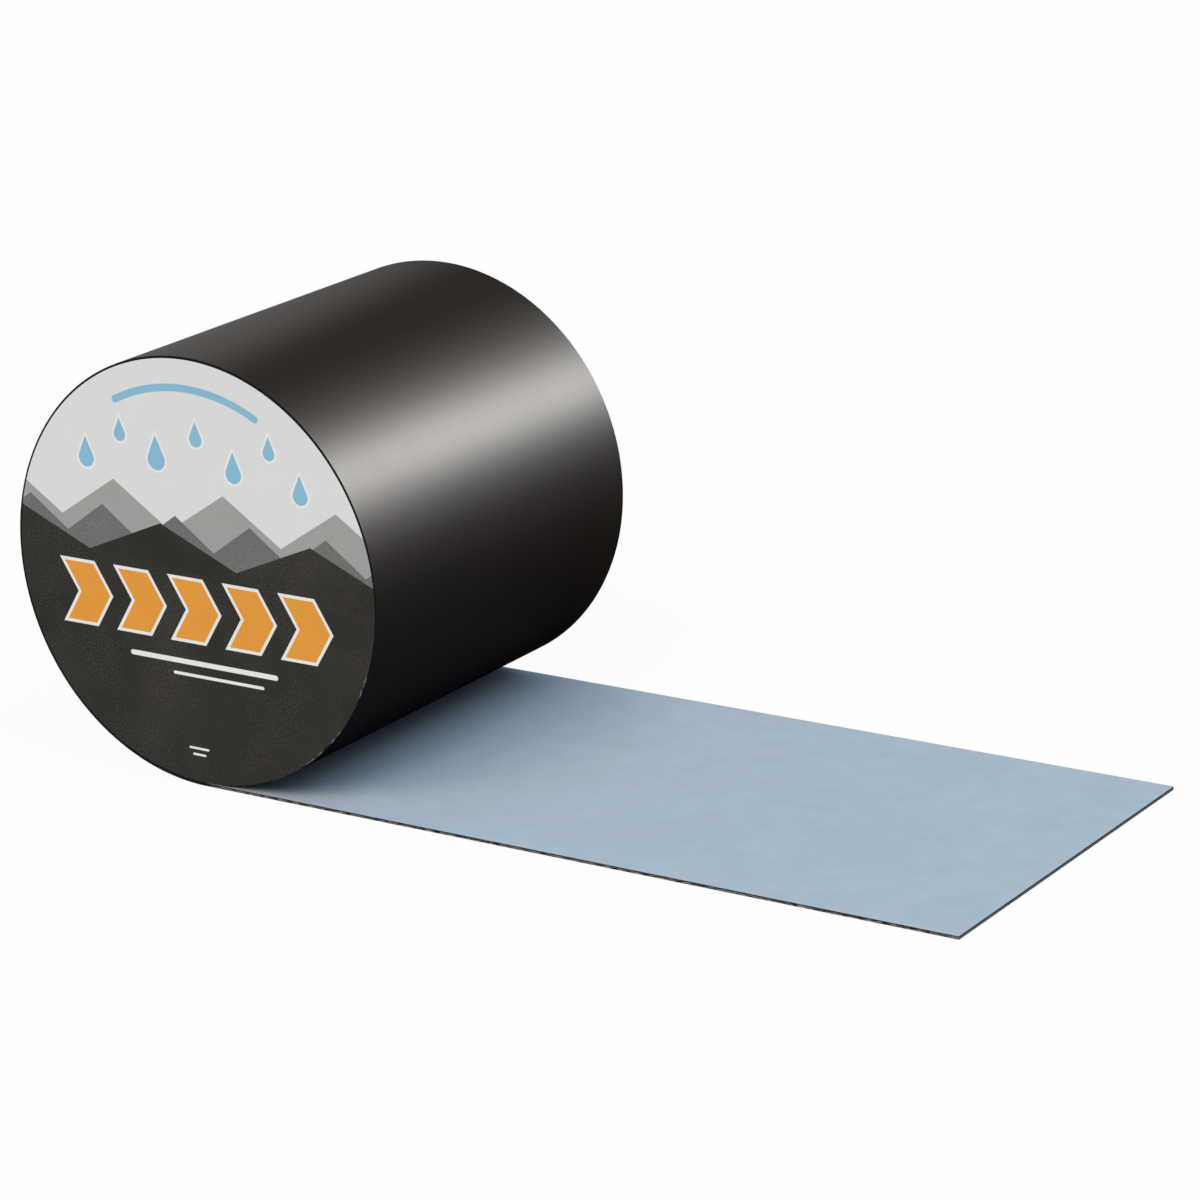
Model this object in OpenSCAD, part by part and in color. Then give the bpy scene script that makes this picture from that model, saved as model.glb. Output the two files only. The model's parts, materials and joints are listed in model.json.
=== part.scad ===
// Roll of foil-faced bitumen flashing tape, lying on its side with its loose end laid out.
// Units are millimetres and +Z is up. The roll's axis runs along Y, and its loose end runs along +X.
// The origin is on the floor, under the roll's axis and midway along the tape's width.

/* [Tape] */
// Width of the tape
tape_w = 150; // [50:5:300]
// Thickness of the foil and its bitumen together
tape_t = 1.2; // [0.8:0.1:2]
// Thickness of the release liner on the bitumen
liner_t = 0.1; // [0.05:0.05:0.2]
// Bevel that slitting leaves along each edge of the tape
slit_bevel = 0.2; // [0.1:0.05:0.3]

/* [Roll] */
// Outer diameter of the wound roll
roll_d = 150; // [120:5:200]
// Diameter of the bore that takes a spindle
bore_d = 76; // [50:1:90]

/* [Loose end] */
// Length of tape laid out on the floor, from under the roll's axis
tail_len = 288; // [100:2:600]

/* [End label] */
// Thickness of the paper label and its glue
label_t = 0.3; // [0.1:0.1:0.6]
// Margin that the label keeps from the step in the roll's rim
label_margin = 0; // [0:0.5:5]

/* [Hidden] */
$fn = 200;

roll_r = roll_d / 2;
bore_r = bore_d / 2;
near_y = -tape_w / 2;

// A turn is one thickness of tape with its liner.
pitch = tape_t + liner_t;

// The winding is a two-centre spiral. The half turn on the -X side is struck from the first centre,
// and the half turn on the +X side from the second, half a pitch higher with half a pitch less radius.
// The halves meet above and below the centres, and each turn comes round one pitch further in.
first_centre_z = roll_r;
second_centre_z = first_centre_z + pitch / 2;
mean_centre_z = (first_centre_z + second_centre_z) / 2;

// Innermost radius of the winding's section, which the bore then cuts away
section_inner_r = bore_r - pitch;
// Radius about either centre outside which a joint's groove is clear of the bore
grooved_r = bore_r + pitch / 4 + slit_bevel;

// The rim is nearest to the mean centre where the loose end steps away under the roll.
rim_r = roll_r - 3 * pitch / 4;
label_r = rim_r - label_margin;

overcut = 1;

// Radial section through one half of the winding, whose outer radius is r.
// Each joint between two turns shows on both ends as a groove of two bevels.
module winding_section(r) {
    joints = floor((r - grooved_r) / pitch);
    near_joints = [
        for (k = [joints : -1 : 1], side = [-1, 0, 1])
            [r - k * pitch + side * slit_bevel, side == 0 ? slit_bevel : 0]
    ];
    far_joints = [
        for (k = [1 : joints], side = [1, 0, -1])
            [r - k * pitch + side * slit_bevel, tape_w - (side == 0 ? slit_bevel : 0)]
    ];
    polygon(concat(
        [[section_inner_r, 0]],
        near_joints,
        [[r - slit_bevel, 0], [r, slit_bevel], [r, tape_w - slit_bevel], [r - slit_bevel, tape_w]],
        far_joints,
        [[section_inner_r, tape_w]]
    ));
}

// The half turns about one centre. start is the angle about the roll's axis at which they begin.
module half_winding(r, centre_z, start) {
    translate([0, near_y, centre_z])
        rotate([-90, 0, 0])
            rotate([0, 0, start])
                rotate_extrude(angle = 180)
                    winding_section(r);
}

// Cross-section of the tape on its own, foil face down, with its slit edges bevelled.
module tape_section() {
    half_w = tape_w / 2;
    polygon([
        [-half_w + slit_bevel, 0], [half_w - slit_bevel, 0],
        [half_w, slit_bevel], [half_w, tape_t - slit_bevel],
        [half_w - slit_bevel, tape_t], [-half_w + slit_bevel, tape_t],
        [-half_w, tape_t - slit_bevel], [-half_w, slit_bevel]
    ]);
}

// The outermost turn runs on from under the roll as a flat strip.
module loose_end() {
    rotate([90, 0, 90])
        linear_extrude(height = tail_len)
            tape_section();
}

module spindle_bore() {
    translate([0, near_y - overcut, mean_centre_z])
        rotate([-90, 0, 0])
            cylinder(h = tape_w + 2 * overcut, r = bore_r);
}

// The whole length of tape in one piece: the winding, its bore and the loose end.
module wound_tape() {
    color("#2b2724")
        difference() {
            union() {
                half_winding(roll_r, first_centre_z, 90);
                half_winding(roll_r - pitch / 2, second_centre_z, -90);
                loose_end();
            }
            spindle_bore();
        }
}

// The liner that the loose end has carried out from between the turns.
module release_liner() {
    color("#a7b9c9")
        translate([0, near_y, tape_t])
            cube([tail_len, tape_w, liner_t]);
}

// The printed paper disc that closes the near end of the roll.
module end_label() {
    color("#d6d6d4")
        translate([0, near_y - label_t, mean_centre_z])
            rotate([-90, 0, 0])
                cylinder(h = label_t, r = label_r);
}

wound_tape();
release_liner();
end_label();
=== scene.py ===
"""Finish of a roll of foil-faced bitumen flashing tape.

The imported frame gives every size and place. The tape is rebuilt here as what it is, one long
laminate of foil, bitumen and release liner that runs along the floor and then winds up in a
two-centre spiral, so that its layers show wherever it is cut. A printed paper disc closes the
near end. Lengths are in metres, +X runs along the loose end, +Y along the roll's axis away from
the label, and +Z is up.
"""

import sys

import json
import logging
import math
from collections.abc import Callable
from dataclasses import dataclass, field, fields
from enum import Enum
from functools import reduce

import bpy
import numpy as np
from mathutils import Matrix, Vector

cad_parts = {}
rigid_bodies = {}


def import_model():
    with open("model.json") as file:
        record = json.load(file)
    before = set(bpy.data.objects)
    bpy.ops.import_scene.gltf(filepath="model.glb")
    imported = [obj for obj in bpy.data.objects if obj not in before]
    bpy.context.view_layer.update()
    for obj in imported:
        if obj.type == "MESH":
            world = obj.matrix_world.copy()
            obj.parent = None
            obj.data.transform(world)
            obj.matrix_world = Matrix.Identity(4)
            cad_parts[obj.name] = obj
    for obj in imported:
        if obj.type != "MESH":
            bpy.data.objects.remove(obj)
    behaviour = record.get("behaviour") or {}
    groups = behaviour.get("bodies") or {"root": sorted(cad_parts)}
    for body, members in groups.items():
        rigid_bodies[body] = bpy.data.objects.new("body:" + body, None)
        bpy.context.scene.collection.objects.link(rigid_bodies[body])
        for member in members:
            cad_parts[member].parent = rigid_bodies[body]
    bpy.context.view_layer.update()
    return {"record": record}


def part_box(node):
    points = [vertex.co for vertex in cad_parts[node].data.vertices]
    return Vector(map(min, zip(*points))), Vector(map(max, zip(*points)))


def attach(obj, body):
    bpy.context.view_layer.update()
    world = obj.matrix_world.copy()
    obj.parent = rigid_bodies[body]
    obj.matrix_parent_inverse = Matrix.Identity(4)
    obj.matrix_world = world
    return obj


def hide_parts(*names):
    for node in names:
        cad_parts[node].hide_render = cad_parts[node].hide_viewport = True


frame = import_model()

LOG = logging.getLogger("flashing_tape")
MM = 0.001
UP = Vector((0.0, 0.0, 1.0))
BODY = "root"

Triple = tuple[float, float, float]
Colour = tuple[float, float, float, float]
Socket = bpy.types.NodeSocket
Materials = dict[str, bpy.types.Material]


# ------------------------------------------------------------
# Sizes
# ------------------------------------------------------------


@dataclass(frozen=True)
class RollSizes:
    """Sizes of the roll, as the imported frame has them.

    Attributes:
        roll_r: Outer radius of the roll.
        half_w: Half the width of the tape.
        tape_t: Thickness of foil and bitumen together.
        liner_t: Thickness of the release liner.
        tail_len: Length of the loose end, from under the roll's axis.
        bore_r: Radius of the bore.
        bore_z: Height of the bore's axis.
        label_r: Radius of the label.
        label_z: Height of the label's centre.
        label_front: Y of the label's printed face.
        label_back: Y of the label's glued face.
    """

    roll_r: float
    half_w: float
    tape_t: float
    liner_t: float
    tail_len: float
    bore_r: float
    bore_z: float
    label_r: float
    label_z: float
    label_front: float
    label_back: float

    @classmethod
    def from_frame(cls, record: dict) -> "RollSizes":
        """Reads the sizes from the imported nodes' boxes and from the bore's mount.

        Args:
            record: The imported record.

        Returns:
            The sizes, in metres.
        """
        tape_low, tape_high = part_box("wound_tape")
        liner_low, liner_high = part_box("release_liner")
        label_low, label_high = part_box("end_label")
        bore = next(m for m in record["mounts"] if m["name"] == "core_bore")
        return cls(
            roll_r=(tape_high.z - tape_low.z) / 2,
            half_w=tape_high.y,
            tape_t=liner_low.z,
            liner_t=liner_high.z - liner_low.z,
            tail_len=tape_high.x,
            bore_r=bore["dims"]["r_mm"] * MM,
            bore_z=bore["pos_m"][2],
            label_r=(label_high.z - label_low.z) / 2,
            label_z=(label_high.z + label_low.z) / 2,
            label_front=label_low.y,
            label_back=label_high.y,
        )

    @property
    def pitch(self) -> float:
        """Thickness of one turn: foil, bitumen and liner."""
        return self.tape_t + self.liner_t


# ------------------------------------------------------------
# Surfaces as arrays
# ------------------------------------------------------------


@dataclass
class Surface:
    """A closed surface, as arrays, before it becomes a mesh.

    Attributes:
        points: Positions, one row a point.
        faces: Groups of faces, each an array with one row a face and one column a corner.
        slots: The material slot of each face, for each group.
        values: Named values, one for each point.
    """

    points: np.ndarray
    faces: list[np.ndarray]
    slots: list[np.ndarray]
    values: dict[str, np.ndarray] = field(default_factory=dict)

    def volume(self) -> float:
        """Sums the tetrahedra from the origin to the triangles of each face's fan.

        Returns:
            The volume, which is below 0 where the faces point inwards.
        """
        total = 0.0
        for group in self.faces:
            corners = self.points[group]
            a, b = corners[:, 1:-1], corners[:, 2:]
            first = np.broadcast_to(corners[:, :1], a.shape)
            total += float(np.einsum("ijk,ijk->", first, np.cross(a, b)))
        return total / 6

    def outward(self) -> "Surface":
        """Turns the faces round if they point inwards.

        Returns:
            The surface itself.
        """
        if self.volume() < 0:
            self.faces = [group[:, ::-1] for group in self.faces]
        return self

    def to_object(
        self, name: str, materials: list[bpy.types.Material], crease: float
    ) -> bpy.types.Object:
        """Puts the arrays into a mesh object at the origin.

        Args:
            name: The object's name.
            materials: The materials, in the order of the slots.
            crease: The angle in degrees past which an edge is sharp.

        Returns:
            The new object, linked to the scene.
        """
        mesh = bpy.data.meshes.new(name)
        corner_counts = np.concatenate([np.full(len(g), g.shape[1]) for g in self.faces])
        corners = np.concatenate([g.ravel() for g in self.faces])
        starts = np.concatenate([[0], np.cumsum(corner_counts)[:-1]])
        mesh.vertices.add(len(self.points))
        mesh.vertices.foreach_set("co", self.points.astype(np.float32).ravel())
        mesh.loops.add(len(corners))
        mesh.loops.foreach_set("vertex_index", corners.astype(np.int32))
        mesh.polygons.add(len(starts))
        mesh.polygons.foreach_set("loop_start", starts.astype(np.int32))
        for material in materials:
            mesh.materials.append(material)
        mesh.polygons.foreach_set("material_index", np.concatenate(self.slots).astype(np.int32))
        for value_name, value in self.values.items():
            attribute = mesh.attributes.new(value_name, "FLOAT", "POINT")
            attribute.data.foreach_set("value", value.astype(np.float32).ravel())
        mesh.update(calc_edges=True)
        mesh.validate()
        mesh.shade_smooth()
        mesh.set_sharp_from_angle(angle=math.radians(crease))
        piece = bpy.data.objects.new(name, mesh)
        bpy.context.scene.collection.objects.link(piece)
        return piece


def tube_faces(stations: int, around: int) -> np.ndarray:
    """Quads of a tube whose section is a closed loop.

    Point (i, j) is number i * around + j. Each quad joins points j and j + 1 of station i to
    the same points of station i + 1, and j + 1 wraps back to 0.

    Args:
        stations: How many times the section stands along the path.
        around: How many points the section has.

    Returns:
        An array of quads.
    """
    i, j = np.meshgrid(np.arange(stations - 1) * around, np.arange(around), indexing="ij")
    k = (j + 1) % around
    return np.stack([i + j, i + around + j, i + around + k, i + k], -1).reshape(-1, 4)


def closed_tube_faces(stations: int, around: int) -> list[np.ndarray]:
    """A tube's quads and its two ends: the first station's loop, and the last one's reversed.

    Args:
        stations: How many times the section stands along the path.
        around: How many points the section has.

    Returns:
        The quads, and two groups of one face each.
    """
    loop = np.arange(around)
    last = loop[::-1] + (stations - 1) * around
    return [tube_faces(stations, around), loop[None, :], last[None, :]]


@dataclass(frozen=True)
class Wander:
    """A smooth random line between 0 and 1.

    Attributes:
        seed: Seed of its waves' phases.
        periods: The waves' lengths, in the units of the places where it is read.
    """

    seed: int
    periods: tuple[float, ...]

    def at(self, where: np.ndarray) -> np.ndarray:
        """Reads the line.

        It is the mean of one sine wave for each period, each with its own random phase, moved
        from the range -1 to 1 to the range 0 to 1.

        Args:
            where: The places.

        Returns:
            Values between 0 and 1, in the shape of where.
        """
        phases = np.random.default_rng(self.seed).uniform(0, 2 * np.pi, len(self.periods))
        waves = [np.sin(2 * np.pi * where / p + phase) for p, phase in zip(self.periods, phases)]
        return 0.5 + 0.5 * np.mean(waves, axis=0)


# ------------------------------------------------------------
# The winding
# ------------------------------------------------------------


class Stretch(Enum):
    """The stretches of tape that a layer can be built along."""

    LOOSE_END = "loose end"
    OUTER_TURN = "outer turn"
    INNER_TURNS = "inner turns"


@dataclass(frozen=True)
class Path:
    """Stations along the tape's foil face, in the XZ plane.

    Attributes:
        x: X of each station.
        z: Z of each station.
        inward_x: X of the unit vector from the foil face into the tape.
        inward_z: Z of that vector.
        turn: The angle wound so far, which is 0 under the axis and negative on the loose end.
        run: The length of tape from under the axis, which is negative on the loose end.
        depth: The thickness of the whole laminate at each station.
    """

    x: np.ndarray
    z: np.ndarray
    inward_x: np.ndarray
    inward_z: np.ndarray
    turn: np.ndarray
    run: np.ndarray
    depth: np.ndarray

    def join(self, other: "Path", stepped: bool = False) -> "Path":
        """Follows this path with another that starts where this one ends.

        Args:
            other: The path that follows.
            stepped: Whether the thickness differs there, so that both stations are kept.

        Returns:
            The whole path.
        """
        end = None if stepped else -1
        pairs = ((getattr(self, f.name)[:end], getattr(other, f.name)) for f in fields(self))
        return Path(*(np.concatenate(pair) for pair in pairs))


@dataclass(frozen=True)
class Winding:
    """The two-centre spiral that the tape follows, with its straight loose end.

    The half turns on the -X side are struck from a centre one roll radius up, and those on the
    +X side from a centre half a pitch higher. Each half turn's radius is half a pitch less than
    the one before, so the halves meet above and below the centres.

    Attributes:
        sizes: The roll's sizes.
        groove_margin: What a turn's inner face keeps clear of the bore, apart from the quarter
            pitch by which the bore's axis lies off each centre.
        least_step: The least difference in thickness that is built as a step.
        loose_steps: Stations along the loose end.
        outer_steps: Stations around the outer turn.
        inner_steps: Stations around each inner turn.
    """

    sizes: RollSizes
    groove_margin: float = 0.2 * MM
    least_step: float = 0.01 * MM
    loose_steps: int = 116
    outer_steps: int = 360
    inner_steps: int = 120

    @property
    def last_full_half(self) -> int:
        """Finds the last half turn that keeps its full thickness outside the bore.

        Returns:
            Its number.
        """
        s = self.sizes
        least_r = s.bore_r + s.pitch / 4 + self.groove_margin
        return math.floor(2 * (s.roll_r - s.pitch - least_r) / s.pitch)

    def arc(self, turn: np.ndarray, half: int) -> Path:
        """Stations on one half turn of the spiral.

        A station of half turn h lies at r = roll_r - h * pitch / 2 from its centre, at the
        angle turn from straight down, round by the -X side. The tape is one pitch thick, until
        the bore limits it: then it reaches to the bore's circle, where a ray from the centre
        along the inward normal n, offset dz above the bore's axis, meets it at the distance
        q = dz * n_z + sqrt(bore_r^2 - dz^2 * (1 - n_z^2)), so the thickness is r - q.

        Args:
            turn: Angles wound so far, in radians.
            half: The half turn's number.

        Returns:
            The stations.
        """
        s = self.sizes
        radius = s.roll_r - half * s.pitch / 2
        centre_z = s.roll_r + (half % 2) * s.pitch / 2
        inward_x, inward_z = np.sin(turn), np.cos(turn)
        above = centre_z - s.bore_z
        to_bore = above * inward_z + np.sqrt(s.bore_r**2 - above**2 * inward_x**2)
        full = np.full(turn.shape, s.pitch)
        return Path(
            x=-radius * inward_x,
            z=centre_z - radius * inward_z,
            inward_x=inward_x,
            inward_z=inward_z,
            turn=turn,
            run=turn * (s.roll_r - turn * s.pitch / (4 * np.pi)),
            depth=radius - to_bore if half > self.last_full_half else full,
        )

    def halves(self, first: int, last: int, steps: int) -> Path:
        """Stations on several half turns, with a step wherever the thickness changes.

        Args:
            first: Number of the first half turn.
            last: Number of the last one.
            steps: Stations around two half turns.

        Returns:
            The stations.
        """
        share = np.linspace(0, 1, steps // 2 + 1)
        path = self.arc((first + share) * np.pi, first)
        for number in range(first + 1, last + 1):
            other = self.arc((number + share) * np.pi, number)
            path = path.join(other, other.depth[0] - path.depth[-1] > self.least_step)
        return path

    def stations(self, stretch: Stretch) -> Path:
        """Stations along one stretch of the tape, from its loose end inwards.

        Args:
            stretch: The stretch.

        Returns:
            The stations.
        """
        if stretch is Stretch.OUTER_TURN:
            return self.halves(0, 1, self.outer_steps)
        if stretch is Stretch.INNER_TURNS:
            return self.halves(2, self.last_full_half + 2, self.inner_steps)
        x = np.linspace(self.sizes.tail_len, 0, self.loose_steps)
        level, up = np.zeros_like(x), np.ones_like(x)
        depth = np.full(x.shape, self.sizes.pitch)
        return Path(x, level, level, up, -x / self.sizes.roll_r, -x, depth)


# ------------------------------------------------------------
# Shader graphs
# ------------------------------------------------------------


def step(operation: str, swapped: bool = False) -> Callable[..., "Number"]:
    """Makes a method of Number from one step of arithmetic.

    Args:
        operation: The Math node's operation.
        swapped: Whether the number comes after the value that it meets.

    Returns:
        The method.
    """

    def method(number: "Number", *others: "Value") -> "Number":
        """Adds the step to the number's graph."""
        values = (*others, number) if swapped else (number, *others)
        return number.graph.math(operation, *values)

    return method


class Number:
    """A number in a shader graph. Arithmetic on it adds the nodes that work it out.

    least and most give the lesser and the greater of it and another value.
    """

    __add__ = __radd__ = step("ADD")
    __mul__ = __rmul__ = step("MULTIPLY")
    __sub__, __rsub__ = step("SUBTRACT"), step("SUBTRACT", swapped=True)
    __truediv__, __rtruediv__ = step("DIVIDE"), step("DIVIDE", swapped=True)
    __abs__ = step("ABSOLUTE")
    least, most = step("MINIMUM"), step("MAXIMUM")
    root, rounded = step("SQRT"), step("ROUND")
    sine, cosine = step("SINE"), step("COSINE")

    def __init__(self, graph: "Graph", socket: Socket) -> None:
        """Takes the graph and the socket that gives the number."""
        self.graph, self.socket = graph, socket

    def held(self) -> "Number":
        """The number, held between 0 and 1."""
        return Number(self.graph, self.graph.node("Clamp", {"Value": self}).outputs[0])

    def remap(self, low: float, high: float, to_low: float = 0.0, to_high: float = 1.0) -> "Number":
        """Carries the range from low to high over to another, smoothly at its ends.

        Args:
            low: Where the range starts.
            high: Where it ends.
            to_low: What low becomes.
            to_high: What high becomes.

        Returns:
            The number in the new range.
        """
        inputs = {"Value": self, "From Min": low, "From Max": high, "To Min": to_low, "To Max": to_high}
        made = self.graph.node("MapRange", inputs, interpolation_type="SMOOTHSTEP")
        return Number(self.graph, made.outputs["Result"])


Value = float | Number
Paint = Colour | Socket
Look = tuple[Paint, Value, Socket | None]


def length(across: Number, up: Number) -> Number:
    """Length of a step across and up."""
    return (across * across + up * up).root()


class Graph:
    """Adds nodes to a shader tree and links them, so that a finish reads as a formula."""

    def __init__(self, tree: bpy.types.NodeTree) -> None:
        """Takes the tree that nodes are added to."""
        self.tree = tree

    def node(
        self, kind: str, inputs: dict[str | int, object] | None = None, **settings: object
    ) -> bpy.types.Node:
        """Adds a node.

        Args:
            kind: The node's type name, without its ShaderNode prefix.
            inputs: Values, numbers or sockets by input name or place.
            **settings: Properties of the node itself.

        Returns:
            The node.
        """
        new = self.tree.nodes.new("ShaderNode" + kind)
        for name, value in settings.items():
            setattr(new, name, value)
        for key, value in (inputs or {}).items():
            self.feed(new.inputs[key], value)
        return new

    def feed(self, target: Socket, value: object) -> None:
        """Links a number or a socket to an input, or sets the input's own value.

        Args:
            target: The input.
            value: What it takes.
        """
        source = value.socket if isinstance(value, Number) else value
        if isinstance(source, bpy.types.NodeSocket):
            self.tree.links.new(source, target)
        else:
            target.default_value = source

    def math(self, operation: str, *values: Value) -> Number:
        """One step of arithmetic."""
        made = self.node("Math", dict(enumerate(values)), operation=operation)
        return Number(self, made.outputs[0])

    def blend(self, amount: Value | Socket, base: Paint, over: Paint) -> Socket:
        """Lays one colour over another, by an amount from 0 to 1."""
        inputs = {0: amount, 6: base, 7: over}
        return self.node("Mix", inputs, data_type="RGBA", clamp_factor=True).outputs[2]

    def shade(self, colour: Paint, factor: Value) -> Socket:
        """Multiplies a colour by a number."""
        plain = colour[:3] if isinstance(colour, tuple) else colour
        return self.node("VectorMath", {0: plain, "Scale": factor}, operation="SCALE").outputs[0]

    def vector(self, x: Value, y: Value) -> Socket:
        """A vector from its first two parts."""
        return self.node("CombineXYZ", {0: x, 1: y}).outputs[0]

    def parts(self, vector: Socket) -> tuple[Number, ...]:
        """The three parts of a vector."""
        return tuple(Number(self, s) for s in self.node("SeparateXYZ", {0: vector}).outputs)

    def attribute(self, name: str) -> Number:
        """A value that the mesh carries."""
        return Number(self, self.node("Attribute", attribute_name=name).outputs["Fac"])

    def point(self, origin: Triple = (0.0, 0.0, 0.0)) -> Socket:
        """The surface point in the piece's own space, in millimetres from origin.

        Args:
            origin: A point, in metres.

        Returns:
            The vector from origin to the surface point.
        """
        at = self.node("TexCoord").outputs["Object"]
        moved = {"Vector": at, "Location": Vector(origin) / -MM, "Scale": (1 / MM,) * 3}
        return self.node("Mapping", moved).outputs[0]

    def noise(
        self, at: Socket, scale: Value, detail: float = 3.0, roughness: float = 0.6
    ) -> Number:
        """Fractal noise around 0.5."""
        inputs = {"Vector": at, "Scale": scale, "Detail": detail, "Roughness": roughness}
        return Number(self, self.node("TexNoise", inputs).outputs[0])

    def bump(self, height: Value, distance: float, strength: float = 1.0) -> Socket:
        """A normal from a height in units of distance."""
        inputs = {"Height": height, "Distance": distance, "Strength": strength}
        return self.node("Bump", inputs).outputs[0]


class Effect:
    """A shader node group that works out one number, and is placed in any number of graphs."""

    def __init__(self, name: str, takes: str, formula: Callable[..., Number]) -> None:
        """Builds the group.

        Args:
            name: The group's name.
            takes: Its inputs by name. A point is a vector, and every other input is a number.
            formula: Works out the number from the group's graph and from the inputs.
        """
        self.group = bpy.data.node_groups.new(name, "ShaderNodeTree")
        names = takes.split()
        for port in names:
            kind = "NodeSocketVector" if port == "point" else "NodeSocketFloat"
            self.group.interface.new_socket(port, in_out="INPUT", socket_type=kind)
        self.group.interface.new_socket("result", in_out="OUTPUT", socket_type="NodeSocketFloat")
        entry = self.group.nodes.new("NodeGroupInput").outputs
        leave = self.group.nodes.new("NodeGroupOutput").inputs
        graph = Graph(self.group)
        given = {port: Number(graph, entry[port]) for port in names}
        if "point" in given:
            given["point"] = entry["point"]
        graph.feed(leave["result"], formula(graph, **given))

    def place(self, graph: Graph, **inputs: Value | Socket) -> Number:
        """Puts the group into a graph, with values by input name, and gives its result."""
        return Number(graph, graph.node("Group", inputs, node_tree=self.group).outputs["result"])


class Effects:
    """The node groups that the finishes share.

    Attributes:
        PRINT_SOFTNESS: Width in millimetres of an ink's soft edge.
        DROP_TIP: Height of a drop's tip, in radii of the drop.
        FLECK_CONTRAST: How steeply a fleck's edge rises.
    """

    PRINT_SOFTNESS = 0.12
    DROP_TIP = 2.4
    FLECK_CONTRAST = 9.0

    def __init__(self) -> None:
        """Builds every group once."""
        self.mottle = Effect("mottle", "point size contrast", self._mottle)
        self.flecks = Effect("flecks", "point size share", self._flecks)
        self.bar = Effect("bar", "across up half_length half_height", self._bar)
        self.chevron = Effect("chevron", "across up half_width half_height slope", self._chevron)
        self.drop = Effect("drop", "across up radius", self._drop)
        self.gables = Effect("gables", "across up span rise start", self._gables)
        self.ink = Effect("ink", "distance reach", self._ink)

    @staticmethod
    def _mottle(graph: Graph, point: Socket, size: Number, contrast: Number) -> Number:
        """Brightness that wanders round 1 by contrast, in patches about size across."""
        wander = graph.noise(point, 1.0 / size, 4.0, 0.55) - 0.5
        return wander * 2.0 * contrast + 1.0

    @staticmethod
    def _flecks(graph: Graph, point: Socket, size: Number, share: Number) -> Number:
        """Sparse soft specks about size across, where noise passes 0.72 - 0.6 * share."""
        past = graph.noise(point, 1.0 / size, 3.0, 0.7) - (share * -0.6 + 0.72)
        return (past * Effects.FLECK_CONTRAST).held()

    @staticmethod
    def _bar(
        graph: Graph, across: Number, up: Number, half_length: Number, half_height: Number
    ) -> Number:
        """Distance outside a bar with round ends, which is that from its middle line."""
        past = (abs(across) - half_length + half_height).most(0.0)
        return length(past, up) - half_height

    @staticmethod
    def _chevron(
        graph: Graph,
        across: Number,
        up: Number,
        half_width: Number,
        half_height: Number,
        slope: Number,
    ) -> Number:
        """Distance outside an arrowhead band, whose point leads by slope * half_height.

        Args:
            graph: The group's graph, which is not used.
            across: Distance from the band's middle, the way that it points.
            up: Height above its point.
            half_width: Half its width across.
            half_height: Half its height.
            slope: How far its arms fall back, for each unit of height.

        Returns:
            The distance, below 0 inside.
        """
        off_axis = abs(abs(up) * slope + across - half_height * slope * 0.5)
        flank = (off_axis - half_width) / (slope * slope + 1.0).root()
        return flank.most(abs(up) - half_height)

    @staticmethod
    def _drop(graph: Graph, across: Number, up: Number, radius: Number) -> Number:
        """Distance outside a falling drop: a disc under a cone whose sides touch it.

        The cone's tip is DROP_TIP radii up, so its half angle has the sine 1 / DROP_TIP, and
        it starts where it touches the disc, 1 / DROP_TIP radii up.

        Args:
            graph: The group's graph, which is not used.
            across: Distance from the disc's centre, to the side.
            up: Height above it.
            radius: The disc's radius.

        Returns:
            The distance, below 0 inside.
        """
        sine = 1 / Effects.DROP_TIP
        cosine = math.sqrt(1 - sine**2)
        flank = abs(across) * cosine + (up - radius * Effects.DROP_TIP) * sine
        cone = flank.most(radius * sine - up)
        return (length(across, up) - radius).least(cone)

    @staticmethod
    def _gables(
        graph: Graph, across: Number, up: Number, span: Number, rise: Number, start: Number
    ) -> Number:
        """Height above a row of gables, which is a triangle wave of the given span and rise."""
        half = span * 0.5
        return up - graph.math("PINGPONG", across + start, half) / half * rise

    @staticmethod
    def _ink(graph: Graph, distance: Number, reach: Number) -> Number:
        """1 where a distance is under reach, falling to 0 over the print's softness."""
        return (0.5 - (distance - reach) / Effects.PRINT_SOFTNESS).held()


# ------------------------------------------------------------
# Finishes
# ------------------------------------------------------------


@dataclass(frozen=True)
class Gloss:
    """How a finish shines: values that are the same all over it.

    Attributes:
        specular: The shader's specular level.
        tint: Tint of a reflection that is met squarely.
        metallic: 1 for bare metal.
        ior: Refractive index, which is higher where metal shows through.
    """

    specular: float = 0.5
    tint: Colour = (1.0, 1.0, 1.0, 1.0)
    metallic: float = 0.0
    ior: float = 1.5


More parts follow.
